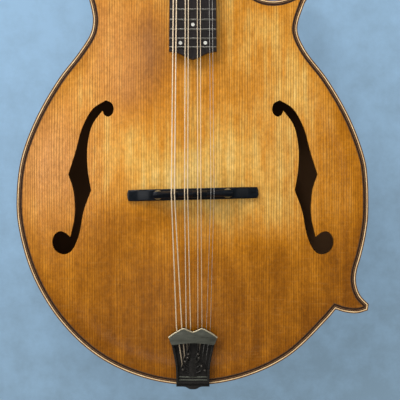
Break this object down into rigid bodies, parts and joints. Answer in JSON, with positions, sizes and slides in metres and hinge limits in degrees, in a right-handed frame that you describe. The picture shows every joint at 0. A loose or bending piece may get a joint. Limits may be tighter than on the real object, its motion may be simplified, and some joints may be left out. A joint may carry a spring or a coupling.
{
  "type": "octave mandolin",
  "caption": "Carved-top octave mandolin with scroll, two body points, f holes, adjustable bridge, cast tailpiece and geared tuners.",
  "frame": {"origin": "under the middle of the whole instrument as it lies on its back, at the level of its lowest point", "axes": "+X to the treble side, +Y from the tail to the headstock, +Z out of the top"},
  "size_m": [0.3394, 0.897, 0.1132],
  "materials": {
    "spruce": "carved spruce, honey sunburst under a satin varnish",
    "maple": "flamed maple, stained red-brown, varnished",
    "mahogany": "bare mahogany, inside",
    "lining_wood": "bare spruce and willow, inside",
    "binding": "cream celluloid between thin dark lines, scraped flush",
    "ebony": "dyed ebony, oiled",
    "fretboard": "ebony with nickel-silver frets",
    "bone": "polished bone",
    "rod_steel": "drawn steel rod",
    "cover": "black laminate",
    "cast_bronze": "dark aged bronze casting",
    "brass": "turned brass",
    "nickel": "nickel-plated steel",
    "wound_string": "bronze-wound steel",
    "plain_string": "plain tinned steel"
  },
  "bodies": {
    "root": {"top_plate": "spruce", "back_plate": "maple", "rib_bass": "maple", "rib_treble_lower": "maple", "rib_treble_waist": "maple", "rib_cutaway": "maple", "head_block": "mahogany", "tail_block": "mahogany", "lower_point_block": "mahogany", "upper_point_block": "mahogany", "top_lining": "lining_wood", "back_lining": "lining_wood", "tone_bar_bass": "lining_wood", "tone_bar_treble": "lining_wood", "top_binding": "binding", "back_binding": "binding", "neck": "maple", "headstock_veneer": "ebony", "truss_rod": "rod_steel", "truss_rod_cover": "cover", "fretboard": "fretboard", "fretboard_support": "maple", "nut": "bone", "bridge_base": "ebony", "bridge_post_bass": "brass", "bridge_post_treble": "brass", "tuner_plate_bass": "nickel", "tuner_plate_treble": "nickel", "tailpiece": "cast_bronze", "tailpiece_screw_1": "nickel", "tailpiece_screw_2": "nickel", "tailpiece_screw_3": "nickel", "string_1": "wound_string", "string_2": "wound_string", "string_3": "wound_string", "string_4": "wound_string", "string_5": "plain_string", "string_6": "plain_string", "string_7": "plain_string", "string_8": "plain_string"},
    "saddle_body": {"saddle": "ebony"},
    "wheel_bass": {"thumbwheel_bass": "brass"},
    "wheel_treble": {"thumbwheel_treble": "brass"},
    "rod_nut": {"truss_rod_nut": "brass"},
    "tuner_knob_1": {"tuner_worm_1": "nickel"},
    "tuner_gear_1": {"tuner_post_1": "brass"},
    "tuner_knob_2": {"tuner_worm_2": "nickel"},
    "tuner_gear_2": {"tuner_post_2": "brass"},
    "tuner_knob_3": {"tuner_worm_3": "nickel"},
    "tuner_gear_3": {"tuner_post_3": "brass"},
    "tuner_knob_4": {"tuner_worm_4": "nickel"},
    "tuner_gear_4": {"tuner_post_4": "brass"},
    "tuner_knob_5": {"tuner_worm_5": "nickel"},
    "tuner_gear_5": {"tuner_post_5": "brass"},
    "tuner_knob_6": {"tuner_worm_6": "nickel"},
    "tuner_gear_6": {"tuner_post_6": "brass"},
    "tuner_knob_7": {"tuner_worm_7": "nickel"},
    "tuner_gear_7": {"tuner_post_7": "brass"},
    "tuner_knob_8": {"tuner_worm_8": "nickel"},
    "tuner_gear_8": {"tuner_post_8": "brass"}
  },
  "joints": [
    {"name": "tuner_1_knob", "type": "hinge", "parent": "root", "child": "tuner_knob_1", "pos_m": [-0.03471, 0.3294, 0.02703], "axis": [1, 0, 0], "continuous": true},
    {"name": "tuner_1_post", "type": "hinge", "parent": "root", "child": "tuner_gear_1", "pos_m": [-0.01921, 0.32703, 0.04974], "axis": [0, 0.2672, 0.9636], "continuous": true},
    {"name": "tuner_2_knob", "type": "hinge", "parent": "root", "child": "tuner_knob_2", "pos_m": [-0.03471, 0.35205, 0.02075], "axis": [1, 0, 0], "continuous": true},
    {"name": "tuner_2_post", "type": "hinge", "parent": "root", "child": "tuner_gear_2", "pos_m": [-0.01921, 0.34968, 0.04346], "axis": [0, 0.2672, 0.9636], "continuous": true},
    {"name": "tuner_3_knob", "type": "hinge", "parent": "root", "child": "tuner_knob_3", "pos_m": [-0.03471, 0.37469, 0.01447], "axis": [1, 0, 0], "continuous": true},
    {"name": "tuner_3_post", "type": "hinge", "parent": "root", "child": "tuner_gear_3", "pos_m": [-0.01921, 0.37232, 0.03718], "axis": [0, 0.2672, 0.9636], "continuous": true},
    {"name": "tuner_4_knob", "type": "hinge", "parent": "root", "child": "tuner_knob_4", "pos_m": [-0.03471, 0.39734, 0.00819], "axis": [1, 0, 0], "continuous": true},
    {"name": "tuner_4_post", "type": "hinge", "parent": "root", "child": "tuner_gear_4", "pos_m": [-0.01921, 0.39497, 0.03089], "axis": [0, 0.2672, 0.9636], "continuous": true},
    {"name": "tuner_5_knob", "type": "hinge", "parent": "root", "child": "tuner_knob_5", "pos_m": [0.03529, 0.3294, 0.02703], "axis": [1, 0, 0], "continuous": true},
    {"name": "tuner_5_post", "type": "hinge", "parent": "root", "child": "tuner_gear_5", "pos_m": [0.01979, 0.32703, 0.04974], "axis": [0, 0.2672, 0.9636], "continuous": true},
    {"name": "tuner_6_knob", "type": "hinge", "parent": "root", "child": "tuner_knob_6", "pos_m": [0.03529, 0.35205, 0.02075], "axis": [1, 0, 0], "continuous": true},
    {"name": "tuner_6_post", "type": "hinge", "parent": "root", "child": "tuner_gear_6", "pos_m": [0.01979, 0.34968, 0.04346], "axis": [0, 0.2672, 0.9636], "continuous": true},
    {"name": "tuner_7_knob", "type": "hinge", "parent": "root", "child": "tuner_knob_7", "pos_m": [0.03529, 0.37469, 0.01447], "axis": [1, 0, 0], "continuous": true},
    {"name": "tuner_7_post", "type": "hinge", "parent": "root", "child": "tuner_gear_7", "pos_m": [0.01979, 0.37232, 0.03718], "axis": [0, 0.2672, 0.9636], "continuous": true},
    {"name": "tuner_8_knob", "type": "hinge", "parent": "root", "child": "tuner_knob_8", "pos_m": [0.03529, 0.39734, 0.00819], "axis": [1, 0, 0], "continuous": true},
    {"name": "tuner_8_post", "type": "hinge", "parent": "root", "child": "tuner_gear_8", "pos_m": [0.01979, 0.39497, 0.03089], "axis": [0, 0.2672, 0.9636], "continuous": true},
    {"name": "saddle_height", "type": "slide", "parent": "root", "child": "saddle_body", "axis": [0, 0, 1], "range_m": [-0.001, 0.002], "deforming": ["string_1", "string_2", "string_3", "string_4", "string_5", "string_6", "string_7", "string_8"]},
    {"name": "thumbwheel_bass_turn", "type": "hinge", "parent": "saddle_body", "child": "wheel_bass", "pos_m": [-0.0327, -0.26066, 0.09838], "axis": [0, 0, 1], "range_deg": [-515, 1029]},
    {"name": "thumbwheel_treble_turn", "type": "hinge", "parent": "saddle_body", "child": "wheel_treble", "pos_m": [0.03328, -0.25905, 0.09838], "axis": [0, 0, 1], "range_deg": [-515, 1029]},
    {"name": "truss_rod_nut_turn", "type": "hinge", "parent": "root", "child": "rod_nut", "pos_m": [0.00029, 0.3044, 0.04917], "axis": [0, 0.9969, -0.0785], "range_deg": [-180, 180]}
  ],
  "couplings": [
    {"joint": "tuner_1_post", "follows": "tuner_1_knob", "ratio": 0.071429},
    {"joint": "tuner_2_post", "follows": "tuner_2_knob", "ratio": 0.071429},
    {"joint": "tuner_3_post", "follows": "tuner_3_knob", "ratio": 0.071429},
    {"joint": "tuner_4_post", "follows": "tuner_4_knob", "ratio": 0.071429},
    {"joint": "tuner_5_post", "follows": "tuner_5_knob", "ratio": -0.071429},
    {"joint": "tuner_6_post", "follows": "tuner_6_knob", "ratio": -0.071429},
    {"joint": "tuner_7_post", "follows": "tuner_7_knob", "ratio": -0.071429},
    {"joint": "tuner_8_post", "follows": "tuner_8_knob", "ratio": -0.071429},
    {"joint": "thumbwheel_bass_turn", "follows": "saddle_height", "rad_per_m": 8976},
    {"joint": "thumbwheel_treble_turn", "follows": "saddle_height", "rad_per_m": 8976}
  ]
}
